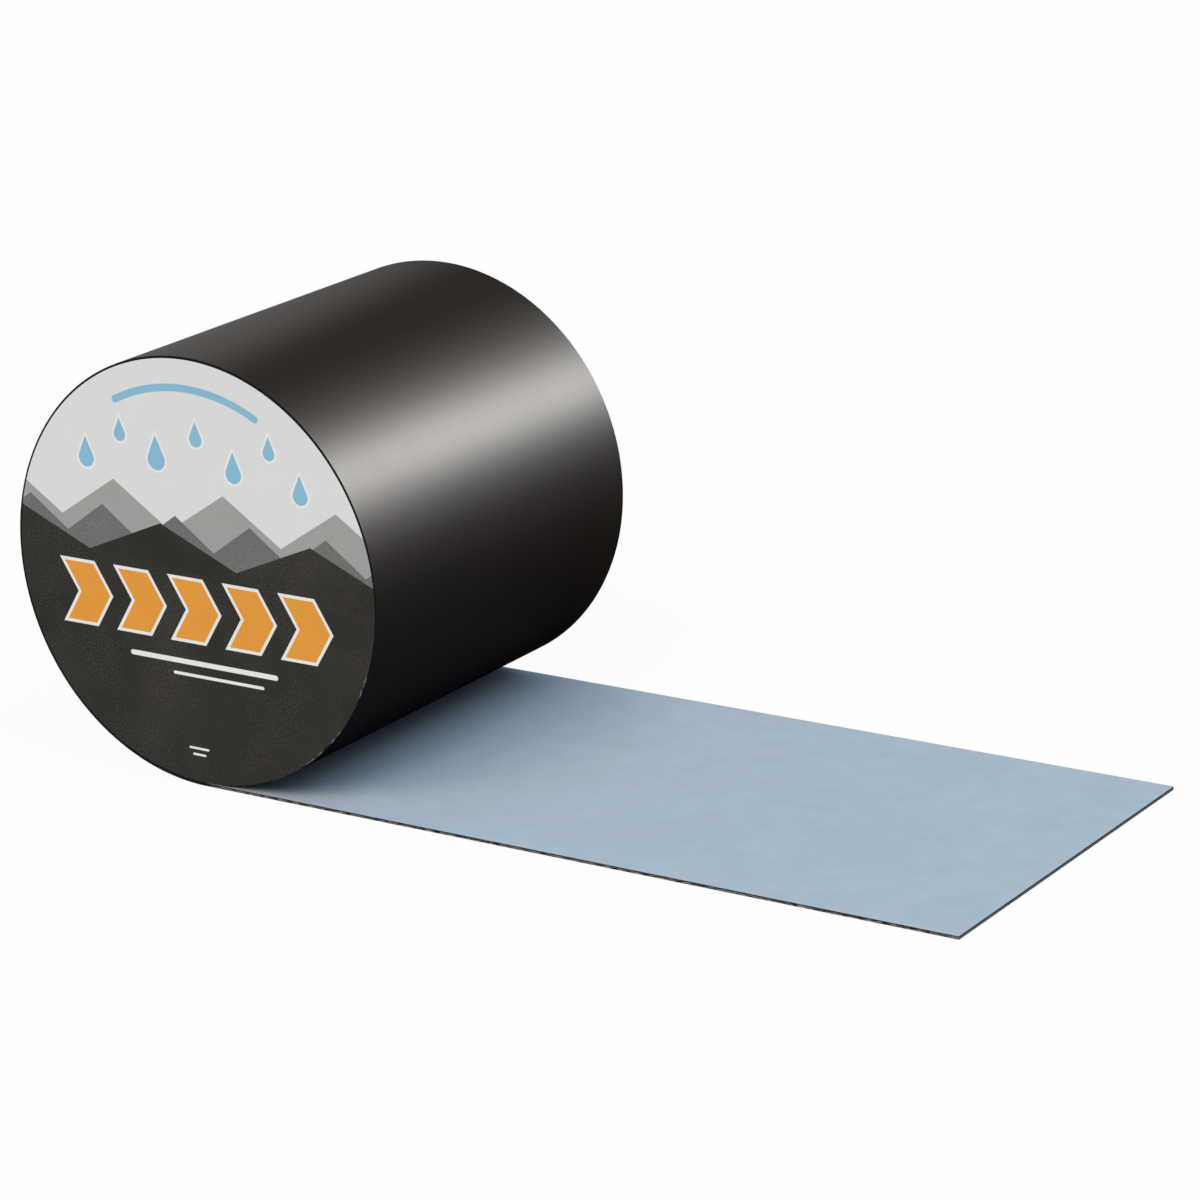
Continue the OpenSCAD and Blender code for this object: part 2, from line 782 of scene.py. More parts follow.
class Finish:
    """A material with one Principled shader, which a subclass paints.

    Attributes:
        name: The material's name.
        gloss: How it shines.
    """

    name = "finish"
    gloss = Gloss()

    def __init__(self, effects: Effects, sizes: RollSizes) -> None:
        """Starts the material.

        Args:
            effects: The shared node groups.
            sizes: The roll's sizes.
        """
        self.effects = effects
        self.sizes = sizes
        self.made = bpy.data.materials.new(self.name)
        self.made.use_nodes = True
        self.graph = Graph(self.made.node_tree)

    def paint(self) -> Look:
        """Gives the base colour, the roughness and the normal, if the finish has one."""
        raise NotImplementedError

    def mottle(self, point: Socket, size: float, contrast: Value) -> Number:
        """Brightness that wanders round 1 by contrast, in patches about size across."""
        return self.effects.mottle.place(self.graph, point=point, size=size, contrast=contrast)

    def flecks(self, point: Socket, size: float, share: float) -> Number:
        """Soft specks about size across, on about share of the surface."""
        return self.effects.flecks.place(self.graph, point=point, size=size, share=share)

    def material(self) -> bpy.types.Material:
        """Paints the material.

        Returns:
            The material.
        """
        colour, roughness, normal = self.paint()
        values = {
            "Base Color": colour,
            "Roughness": roughness,
            "Specular IOR Level": self.gloss.specular,
            "Specular Tint": self.gloss.tint,
            "Metallic": self.gloss.metallic,
            "IOR": self.gloss.ior,
        }
        if normal is not None:
            values["Normal"] = normal
        shader = next(n for n in self.made.node_tree.nodes if n.type == "BSDF_PRINCIPLED")
        for name, value in values.items():
            self.graph.feed(shader.inputs[name], value)
        return self.made


class LacqueredFoil(Finish):
    """The dark brown lacquer on the foil, satin, with faint calender lines along the tape."""

    name = "lacquered_foil"
    gloss = Gloss(tint=(1.0, 0.978, 0.955, 1.0), ior=3.5)
    LACQUER: Colour = (0.0038, 0.0019, 0.0008, 1.0)
    SATIN = 0.455

    def paint(self) -> Look:
        """Lines run with the tape, so they follow its run and its width and not the room.

        Returns:
            The base colour, the roughness and the normal.
        """
        graph, point = self.graph, self.graph.point()
        _, across, _ = graph.parts(point)
        lines = graph.noise(graph.vector(graph.attribute("run") * 4.0, across * 0.9), 1.0)
        patch = self.mottle(point, size=34.0, contrast=0.22)
        grain = graph.noise(point, 3.5)
        colour = graph.shade(self.LACQUER, patch * lines.remap(0.2, 0.8, 0.9, 1.1))
        rough = (lines - 0.5) * 0.04 + (patch - 1.0) * 0.05 + self.SATIN
        return colour, rough, graph.bump(lines * 0.35 + grain * 0.65, 0.004 * MM)


class CutFoil(Finish):
    """The slit edge of the foil, dulled by the bitumen that the knife drew over it."""

    name = "cut_foil"
    gloss = Gloss(metallic=0.5)
    METAL: Colour = (0.1, 0.096, 0.092, 1.0)
    SMEARED: Colour = (0.009, 0.0085, 0.008, 1.0)

    def paint(self) -> Look:
        """Dark smears, with bare metal only in a few short places."""
        smear = self.graph.noise(self.graph.point(), 0.6).remap(0.3, 0.42)
        return self.graph.blend(smear, self.METAL, self.SMEARED), smear * 0.25 + 0.4, None


class Bitumen(Finish):
    """The black compound, matt where it was slit, with pale filler flecks and drawn streaks, and
    painted light on the loose end's edge.
    """

    name = "bitumen"
    gloss = Gloss(specular=0.3)
    COMPOUND: Colour = (0.012, 0.0113, 0.0108, 1.0)
    FILLER: Colour = (0.25, 0.242, 0.232, 1.0)

    def paint(self) -> Look:
        """Flecks and streaks, stretched along the tape, pale only on the loose end and near the foil:
        real filler, and painted light where that lower edge faces the glowing floor.

        Returns:
            The base colour, the roughness and the normal.
        """
        graph, point = self.graph, self.graph.point()
        run, depth = (graph.attribute(name) / MM for name in ("run", "depth"))
        streak = self.flecks(graph.vector(run * 0.3, depth * 2.2), size=0.9, share=0.42)
        fleck = self.flecks(point, size=0.25, share=0.2)
        # Painted light: the flecks are pale only on the loose end and towards the foil, the edge that
        # faces the glowing floor.
        loose = (run * -0.2).held()
        pale_filler_and_glow = streak.most(fleck) * depth.remap(0.45, 0.95, 1.0, 0.25) * loose
        colour = graph.blend(pale_filler_and_glow, self.COMPOUND, self.FILLER)
        grain = graph.noise(point, 5.0)
        return colour, grain.remap(0.3, 0.7, 0.55, 0.8), graph.bump(grain, 0.05 * MM, 0.8)


class LinerFilm(Finish):
    """The pale blue-grey siliconised film, softly mottled, with faint drawn lines."""

    name = "liner_film"
    gloss = Gloss(specular=0.32)
    FILM: Colour = (0.437, 0.546, 0.658, 1.0)
    # Painted reflection: the dark blue-grey that the foil mirrors in place of the film.
    REFLECTED: Colour = (0.0085, 0.0108, 0.0200, 1.0)
    SHEEN = 0.42

    def paint(self) -> Look:
        """Broad mottling, fine cloud, lines along the tape and a few tiny dark marks, with a painted
        reflection: reflections see the film as a dark blue-grey.

        Returns:
            The base colour, the roughness and the normal.
        """
        graph, point = self.graph, self.graph.point()
        along, across, _ = graph.parts(point)
        broad = self.mottle(point, size=46.0, contrast=0.08)
        cloud = self.mottle(point, size=9.0, contrast=0.06)
        lines = graph.noise(graph.vector(along * 0.02, across * 0.9), 1.0)
        tone = broad * cloud * lines.remap(0.2, 0.8, 0.985, 1.015)
        mark = self.flecks(point, size=1.1, share=0.02)
        seen = graph.shade(self.FILM, tone - mark * 0.12)
        # Painted reflection: glossy rays see the dark blue-grey in place of the film's own colour.
        glossy = graph.node("LightPath").outputs["Is Glossy Ray"]
        ripple = lines * 0.3 + graph.noise(point, 0.12, roughness=0.55)
        rough = (cloud - 1.0) * 1.6 + self.SHEEN
        return graph.blend(glossy, seen, self.REFLECTED), rough, graph.bump(ripple, 0.03 * MM)


class PaperBack(Finish):
    """The label's paper where it is cut and on its glued face.

    Attributes:
        STAINED: Paper with bitumen behind it.
        GLUED: Paper under clean glue, where it spans the bore.
        STAIN_EDGE: How far inside the bore's radius the stain starts, and outside it is full.
        FIBRE_REACH: How far the fibre draws the stain inwards.
    """

    name = "label_back"
    gloss = Gloss(specular=0.25)
    STAINED: Colour = (0.02, 0.0185, 0.017, 1.0)
    GLUED: Colour = (0.62, 0.6, 0.56, 1.0)
    STAIN_EDGE = (1.5, 0.5)
    FIBRE_REACH = 1.2

    def paint(self) -> Look:
        """Fibre, stained by the bitumen behind it, and pale where it spans the bore.

        Returns:
            The base colour, the roughness and no normal.
        """
        graph = self.graph
        point = graph.point((0.0, 0.0, self.sizes.bore_z))
        across, _, up = graph.parts(point)
        fibre = self.mottle(point, size=1.2, contrast=0.2)
        glue = self.mottle(point, size=9.0, contrast=0.12)
        bore = self.sizes.bore_r / MM
        inside, outside = self.STAIN_EDGE
        from_axis = length(across, up) + fibre * self.FIBRE_REACH
        stain = from_axis.remap(bore - inside, bore + outside)
        colour = graph.blend(stain, graph.shade(self.GLUED, glue), self.STAINED)
        return graph.shade(colour, fibre), fibre * 0.8, None


class Ink(Enum):
    """The label's colours: its inks, the wear and dirt on them, and the dark of the rim, which is
    partly painted shade.
    """

    GREY = (0.633, 0.658, 0.677, 1.0)
    CHARCOAL = (0.0287, 0.0280, 0.0251, 1.0)
    MIST = (0.309, 0.321, 0.327, 1.0)
    SLATE = (0.139, 0.145, 0.147, 1.0)
    ORANGE = (0.687, 0.294, 0.0352, 1.0)
    PALE = (0.718, 0.736, 0.745, 1.0)
    BLUE = (0.216, 0.449, 0.633, 1.0)
    BARE_FIBRE = (0.587, 0.591, 0.590, 1.0)
    # Bitumen on the cut rim, painted there also as the shade of the gap at the roll's end.
    BITUMEN = (0.0100, 0.0094, 0.0088, 1.0)
    DUST = (0.521, 0.483, 0.434, 1.0)


class PrintedPaper(Finish):
    """The label's printed face: a light sky over gables and a dark field, with plain devices.

    The design is made of shapes alone. Their places and sizes are in millimetres, the places
    from the label's centre, across towards +X and up towards +Z.

    Attributes:
        GABLES: Rows of gables, as (ink, foot, span, rise, start).
        DROPS: Drops, as (across, up, radius).
        DROP_RIM: Width of a drop's pale rim.
        RULES: Rules and tabs with round ends, as (across, up, half length, half height).
        CHEVRON: Half width, half height and slope of a chevron.
        CHEVRON_PITCH: Distance from one chevron to the next.
        CHEVRONS_A_SIDE: How many stand on each side of the middle one.
        CHEVRON_DROP: How far they stand below the centre.
        CHEVRON_RIM: Width of a chevron's pale outline.
        ARC: Radius, half angle in degrees and half width of the arc.
        MATT: Roughness of the paper.
    """

    name = "label_print"
    gloss = Gloss(specular=0.28)
    GABLES = (
        (Ink.MIST, 14.0, 46.0, 15.0, 9.0),
        (Ink.SLATE, 8.5, 31.0, 11.0, 22.0),
        (Ink.CHARCOAL, 3.0, 62.0, 13.0, 44.0),
    )
    DROPS = (
        (-43.0, 35.0, 3.2),
        (-28.0, 45.0, 2.4),
        (-13.0, 38.0, 3.6),
        (4.0, 47.0, 2.6),
        (19.0, 37.0, 3.2),
        (34.0, 46.0, 2.4),
        (46.0, 33.0, 3.0),
    )
    DROP_RIM = 0.8
    RULES = (
        (2.0, -31.5, 31.0, 0.9),
        (8.0, -36.0, 19.0, 0.55),
        (-2.0, -62.0, 4.2, 0.4),
        (-2.0, -64.2, 2.8, 0.4),
    )
    CHEVRON = (6.2, 10.5, 0.62)
    CHEVRON_PITCH = 23.0
    CHEVRONS_A_SIDE = 2.0
    CHEVRON_DROP = 13.0
    CHEVRON_RIM = 1.1
    ARC = (64.0, 27.0, 1.3)
    MATT = 0.56

    def __init__(self, effects: Effects, sizes: RollSizes) -> None:
        """Starts the material and finds the point on the label.

        Args:
            effects: The shared node groups.
            sizes: The roll's sizes.
        """
        super().__init__(effects, sizes)
        self.point = self.graph.point((0.0, sizes.label_front, sizes.label_z))
        self.across, _, self.up = self.graph.parts(self.point)

    def inked(self, colour: Paint, ink: Ink, distance: Number, reach: Value = 0.0) -> Socket:
        """Lays an ink over a colour wherever distance is under reach."""
        mask = self.effects.ink.place(self.graph, distance=distance, reach=reach)
        return self.graph.blend(mask, colour, ink.value)

    def ground(self) -> Paint:
        """The light field, with two rows of gables and the dark field over it.

        Returns:
            The colour.
        """
        colour: Paint = Ink.GREY.value
        for ink, foot, span, rise, start in self.GABLES:
            row = {"across": self.across, "up": self.up - foot, "span": span, "rise": rise}
            edge = self.effects.gables.place(self.graph, **row, start=start)
            colour = self.inked(colour, ink, edge)
        return colour

    def arc(self) -> Number:
        """Distance outside an arc with round ends under the label's upper rim.

        The nearest point of its middle line lies at the point's own angle from straight up, held
        within the arc's half angle to either side.

        Returns:
            The distance, below 0 inside.
        """
        radius, half_angle, half_width = self.ARC
        reach = math.radians(half_angle)
        angle = self.graph.math("ARCTAN2", self.across, self.up).least(reach).most(-reach)
        off_across = self.across - angle.sine() * radius
        off_up = self.up - angle.cosine() * radius
        return length(off_across, off_up) - half_width

    def nearest(
        self, effect: Effect, places: tuple[tuple[Value, ...], ...], names: tuple[str, ...]
    ) -> Number:
        """Distance outside the nearest of several shapes of one kind.

        Args:
            effect: The kind of shape.
            places: Where each one's middle is across and up, and then its sizes.
            names: What the effect calls those sizes.

        Returns:
            The distance, below 0 inside.
        """
        shapes = []
        for across, up, *sizes in places:
            off = {"across": self.across - across, "up": self.up - up}
            shapes.append(effect.place(self.graph, **off, **dict(zip(names, sizes))))
        return reduce(Number.least, shapes)

    def chevrons(self) -> Number:
        """Distance outside a row of chevrons that point along the tape.

        Returns:
            The distance, below 0 inside.
        """
        each_side, pitch = self.CHEVRONS_A_SIDE, self.CHEVRON_PITCH
        number = (self.across / pitch).rounded().least(each_side).most(-each_side)
        middle = (number * pitch, -self.CHEVRON_DROP, *self.CHEVRON)
        return self.nearest(
            self.effects.chevron, (middle,), ("half_width", "half_height", "slope")
        )

    def scuffed(self, colour: Paint) -> tuple[Socket, Number]:
        """Cloud and grain all over, which are coarser and dusty on the dark ink.

        Args:
            colour: The clean print.

        Returns:
            The print with its wear, and the grain as a brightness round 1.
        """
        graph, point = self.graph, self.point
        luma = Number(graph, graph.node("RGBToBW", {0: colour}).outputs[0])
        dark = (1.0 - luma * 3.0).held()
        cloud = self.mottle(point, size=14.0, contrast=dark * 0.1 + 0.05)
        patch = graph.noise(point, 0.045, 2.0, 0.5).remap(0.4, 0.62, 0.3, 1.0)
        grain = self.mottle(point, size=0.75, contrast=dark * patch * 1.4 + 0.05)
        haze = graph.noise(point, 0.032, 2.0, 0.5).remap(0.4, 0.75, 0.0, 0.015)
        dust = self.flecks(point, size=0.45, share=0.34) * patch * 0.09 + haze
        worn = graph.shade(colour, cloud * grain)
        return graph.blend(dust * dark, worn, Ink.DUST.value), grain

    def worn_rim(self, colour: Paint) -> Socket:
        """Bare fibre on the rim, mostly low on the right, inside a dark hairline: bitumen on the cut
        edge, and painted shade of the gap at the roll's end.

        Args:
            colour: The print.

        Returns:
            The print with its rim.
        """
        graph, point = self.graph, self.point
        rim = self.sizes.label_r / MM - length(self.across, self.up)
        side = self.across * 0.8 - self.up * 0.6
        ragged = side.remap(30.0, 72.0, 0.4, 2.2) - graph.noise(point, 0.12, 4.0, 0.75) * 4.0
        worn = ((ragged - rim) / 0.3).held()
        bare = worn * side.remap(66.0, 72.0, 0.06, 0.3)
        # Painted shade, in part: the hairline stands for bitumen on the cut edge and for the shade of
        # the gap at the roll's end.
        stain_and_shade_line = graph.noise(point, 0.5) * 0.05 + 0.1
        colour = graph.blend(bare, colour, Ink.BARE_FIBRE.value)
        return self.inked(colour, Ink.BITUMEN, rim, stain_and_shade_line)

    def paint(self) -> Look:
        """The design, then the scuffs, the paper's grain and the worn edge with its dark hairline,
        which is partly painted shade.

        Returns:
            The base colour, the roughness and the normal.
        """
        drops = self.nearest(self.effects.drop, self.DROPS, ("radius",))
        rules = self.nearest(self.effects.bar, self.RULES, ("half_length", "half_height"))
        devices = (
            (Ink.BLUE, self.arc(), None),
            (Ink.BLUE, drops, self.DROP_RIM),
            (Ink.ORANGE, self.chevrons(), self.CHEVRON_RIM),
            (Ink.PALE, rules, None),
        )
        colour = self.ground()
        for ink, distance, rim in devices:
            if rim is not None:
                colour = self.inked(colour, Ink.PALE, distance, rim)
            colour = self.inked(colour, ink, distance)
        colour, grain = self.scuffed(colour)
        normal = self.graph.bump(self.graph.noise(self.point, 1.6, 4.0), 0.02 * MM)
        return self.worn_rim(colour), (grain - 1.0) * 0.2 + self.MATT, normal


@dataclass(frozen=True)
class PaleFloor:
    """The studio's floor, a sheet lit from below, which reflections see darker than the eye does.

    Attributes:
        seen: Its matt colour.
        glow: The strength of its light.
        glow_share: How much of it is light and not matt colour.
        reflected: Its colour in reflections, as a dark card would give.
    """

    seen: Colour = (0.93, 0.93, 0.93, 1.0)
    glow: float = 1.0
    glow_share: float = 0.95
    reflected: Colour = (0.0058, 0.0024, 0.0, 1.0)

    def material(self) -> bpy.types.Material:
        """Builds the material, which isn't sampled as a lamp, so that its glow gives no gloss.

        Returns:
            The material.
        """
        made = bpy.data.materials.new("pale_floor")
        made.cycles.emission_sampling = "NONE"
        made.use_nodes = True
        made.node_tree.nodes.clear()
        graph = Graph(made.node_tree)
        matt = graph.node("BsdfDiffuse", {"Color": self.seen}).outputs[0]
        glow = graph.node("Emission", {"Strength": self.glow}).outputs[0]
        seen = graph.node("MixShader", {0: self.glow_share, 1: matt, 2: glow}).outputs[0]
        reflected = graph.node("BsdfDiffuse", {"Color": self.reflected}).outputs[0]
        glossy = graph.node("LightPath").outputs["Is Glossy Ray"]
        mix = graph.node("MixShader", {0: glossy, 1: seen, 2: reflected}).outputs[0]
        graph.node("OutputMaterial", {"Surface": mix})
        return made


# ------------------------------------------------------------
# Sub-assemblies
# ------------------------------------------------------------


class Layer(Enum):
    """The layers of the laminate, from the outside of the roll inwards."""

    FOIL = "foil"
    BITUMEN = "bitumen"
    LINER = "liner"


@dataclass(frozen=True)
class SlitEdge:
    """A slit edge of the tape, which strays back from the end of the roll.

    Attributes:
        inner: How far it may lie back on the inner turns.
        seed: Seed of its wander. The next one is the tremor's.
        outer: How far it may lie back on the outer turn.
        turns: Lengths of its slow waves, in turns.
        tremor: Lengths of the knife's quick waves.
        tremor_share: The quick waves' share.
    """

    inner: float
    seed: int
    outer: float = 0.05 * MM
    turns: tuple[float, ...] = (1.37, 2.11, 3.7, 5.9)
    tremor: Triple = (6 * MM, 9.1 * MM, 2.7 * MM)
    tremor_share: float = 0.25

    def setback(self, path: Path) -> np.ndarray:
        """How far the edge lies back from the roll's end at each station.

        It is a wander along the tape times the outer share on the outer turn, and times the
        inner share from one turn further in, with a fine tremor of the knife on top.

        Args:
            path: The stations.

        Returns:
            The distances.
        """
        turns = path.turn / (2 * np.pi)
        reach = self.outer + (self.inner - self.outer) * np.clip(turns - 1, 0, 1)
        wander = Wander(self.seed, self.turns).at(turns)
        tremor = Wander(self.seed + 1, self.tremor).at(path.run)
        return reach * ((1 - self.tremor_share) * wander + self.tremor_share * tremor)


@dataclass
class WoundTape:
    """The tape: its three layers, wound up and laid out.

    Attributes:
        sizes: The roll's sizes.
        winding: The line that it follows.
        foil_t: Thickness of the foil.
        slit_bevel: How far the slit edges draw in at the foil and at the liner.
        near_edge: The slit edge at the roll's near end.
        far_edge: The one at its far end.
        slack: How far the foil's face may sink between its tight spots.
        slack_along: The long waves that it sinks in along the tape.
        slack_across: Those across it.
        slack_ends: The angle over which they fade where the outer turn starts and ends.
        face_steps: Divisions across the outer turn's visible face.
        crease: The angle in degrees past which an edge is sharp.
    """

    sizes: RollSizes
    winding: Winding
    foil_t: float = 0.09 * MM
    slit_bevel: float = 0.16 * MM
    near_edge: SlitEdge = SlitEdge(inner=0.08 * MM, seed=11)
    far_edge: SlitEdge = SlitEdge(inner=0.42 * MM, seed=23)
    slack: float = 0.05 * MM
    slack_along: Wander = Wander(5, (0.031, 0.047, 0.083))
    slack_across: Wander = Wander(7, (0.029, 0.061, 0.113))
    slack_ends: float = 0.6
    face_steps: int = 48
    crease: float = 20.0

    def span(self, path: Path, layer: Layer) -> tuple[np.ndarray, np.ndarray]:
        """Depths below the foil's face between which a layer lies.

        Args:
            path: The stations.
            layer: The layer.

        Returns:
            The lower and the higher depth at each station.
        """
        foil_end = np.full(path.depth.shape, self.foil_t)
        liner_start = path.depth - self.sizes.liner_t
        spans = {
            Layer.FOIL: (np.zeros_like(foil_end), foil_end),
            Layer.BITUMEN: (foil_end, liner_start),
            Layer.LINER: (liner_start, path.depth),
        }
        return spans[layer]

    def edge_inset(self, depth: np.ndarray, total: np.ndarray) -> np.ndarray:
        """How far the slit edge draws in at a depth: bevel * |2 * depth / total - 1| ^ 6."""
        return self.slit_bevel * np.abs(2 * depth / total - 1) ** 6

    def sweep(self, path: Path, layer: Layer, shares: tuple[float, ...], across: int) -> Surface:
        """Carries a layer's section along the path.

        The section runs across the layer's outer face, down the far edge, back over the inner
        face and up the near edge. A point at depth d lies at path + d * inward, and at
        y = -+(half_w - setback - inset(d)) on an edge, with even steps between on a face.

        Args:
            path: The stations.
            layer: The layer.
            shares: Shares of the layer's thickness at which its edges have points.
            across: Divisions across its outer face.

        Returns:
            The closed surface, whose outer turn has the foil's slack, with its run and depth.
        """
        low, high = self.span(path, layer)
        edge_depth = low[:, None] + (high - low)[:, None] * np.array(shares)
        edge_y = self.sizes.half_w - self.edge_inset(edge_depth, path.depth[:, None])
        near = self.near_edge.setback(path)[:, None] - edge_y
        far = edge_y - self.far_edge.setback(path)[:, None]
        even = np.linspace(0, 1, across + 1)[1:-1]
        face_y = near[:, :1] + (far - near)[:, :1] * even
        face_depth = np.repeat(low[:, None], len(even), axis=1)
        y = np.hstack([near[:, :1], face_y, far, near[:, :0:-1]])
        depth = np.hstack([edge_depth[:, :1], face_depth, edge_depth, edge_depth[:, :0:-1]])
        if across > 1:
            face = np.s_[:, : across + 1]
            depth[face] += self.face_slack(path, y[face])
        x = path.x[:, None] + path.inward_x[:, None] * depth
        z = path.z[:, None] + path.inward_z[:, None] * depth
        stations, around = y.shape
        edge_slot = np.ones(around, int)
        edge_slot[:across] = 0
        edge_slot[across + len(shares) - 1] = 0
        slots = [np.tile(edge_slot, stations - 1), np.array([1]), np.array([1])]
        run = np.repeat(path.run, around)
        points = np.stack([x, y, z], -1).reshape(-1, 3)
        faces = closed_tube_faces(stations, around)
        return Surface(points, faces, slots, {"run": run, "depth": depth.ravel()}).outward()

    def face_slack(self, path: Path, y: np.ndarray) -> np.ndarray:
        """How far the foil's face sinks: long waves along the tape times waves across it.

        They fade to nothing where the outer turn leaves the floor and where it goes under.

        Args:
            path: The stations.
            y: Y of each point of the face.

        Returns:
            The depths, in the shape of y.
        """
        from_end = np.minimum(path.turn, 2 * np.pi - path.turn)
        ends = np.clip(from_end / self.slack_ends, 0, 1)[:, None]
        along = self.slack_along.at(path.run)[:, None]
        return self.slack * along * self.slack_across.at(y) * ends

    def build(self, finishes: Materials) -> list[bpy.types.Object]:
        """Makes the tape's pieces.

        Args:
            finishes: The materials by name.

        Returns:
            The pieces.
        """
        loose, outer, inner = (self.winding.stations(stretch) for stretch in Stretch)
        foil = [finishes["lacquered_foil"], finishes["cut_foil"]]
        bitumen = [finishes["bitumen"]] * 2
        liner = [finishes["liner_film"]] * 2
        ends = (0.0, 1.0)
        slit = (0.0, 0.1, 0.3, 0.7, 0.9, 1.0)
        plan = (
            ("foil_outer_turn", loose.join(outer), Layer.FOIL, ends, self.face_steps, foil),
            ("foil_inner_turns", inner, Layer.FOIL, ends, 1, foil),
            ("bitumen_layer", loose.join(outer).join(inner), Layer.BITUMEN, slit, 1, bitumen),
            ("liner_turns", outer.join(inner), Layer.LINER, ends, 1, liner),
        )
        pieces = []
        for name, path, layer, shares, across, materials in plan:
            piece = self.sweep(path, layer, shares, across).to_object(name, materials, self.crease)
            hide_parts("wound_tape")
            pieces.append(piece)
        return pieces


@dataclass
class ReleaseLiner:
    """The liner on the loose end, whose face ripples a little.

    Attributes:
        sizes: The roll's sizes.
        ripple: How far its face may dip.
        along: The long waves along it.
        across: Those across it.
        slants: How far the waves along it slant, and how far those across it do.
        fade: Length over which they grow, from under the roll's axis.
        edge_round: How far its long edges turn down.
        edge_w: Width over which they do.
        along_steps: Divisions along the tape.
        across_steps: Divisions across it.
        crease: The angle in degrees past which an edge is sharp.
    """

    sizes: RollSizes
    ripple: float = 0.05 * MM
    along: Wander = Wander(31, (0.037, 0.071, 0.16))
    across: Wander = Wander(37, (0.043, 0.09, 0.17))
    slants: tuple[float, float] = (0.35, -0.2)
    fade: float = 30 * MM
    edge_round: float = 0.03 * MM
    edge_w: float = 0.8 * MM
    along_steps: int = 220
    across_steps: int = 110
    crease: float = 40.0

    def face(self) -> Surface:
        """The film as a thin slab with a rippled top.

        The top at (x, y) lies ripple * a(x) * b(y) below the liner's upper side, where a and b
        are gentle wanders, and it falls away to nothing under the roll.

        Returns:
            The closed surface.
        """
        s = self.sizes
        lines = np.linspace(0, s.tail_len, self.along_steps + 1)
        rows = np.linspace(-s.half_w, s.half_w, self.across_steps + 1)
        x, y = np.meshgrid(lines, rows, indexing="ij")
        swell = self.along.at(x + self.slants[0] * y) * self.across.at(y + self.slants[1] * x)
        dip = self.ripple * swell * np.clip(x / self.fade, 0, 1)
        inside = np.clip((s.half_w - np.abs(y)) / self.edge_w, 0, 1)
        top = np.stack([x, y, s.pitch - dip - self.edge_round * (1 - inside) ** 2], -1)
        under = np.full((len(lines), 2), s.tape_t)
        bottom = np.stack([x[:, [-1, 0]], y[:, [-1, 0]], under], -1)
        loop = np.concatenate([top, bottom], axis=1)
        around = loop.shape[1]
        faces = closed_tube_faces(len(lines), around)
        slots = [np.zeros(len(group), int) for group in faces]
        run = np.repeat(-lines, around)
        return Surface(loop.reshape(-1, 3), faces, slots, {"run": run}).outward()

    def build(self, finishes: Materials) -> list[bpy.types.Object]:
        """Makes the film.

        Args:
            finishes: The materials by name.

        Returns:
            The one piece.
        """
        piece = self.face().to_object("liner_face", [finishes["liner_film"]], self.crease)
        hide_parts("release_liner")
        return [piece]


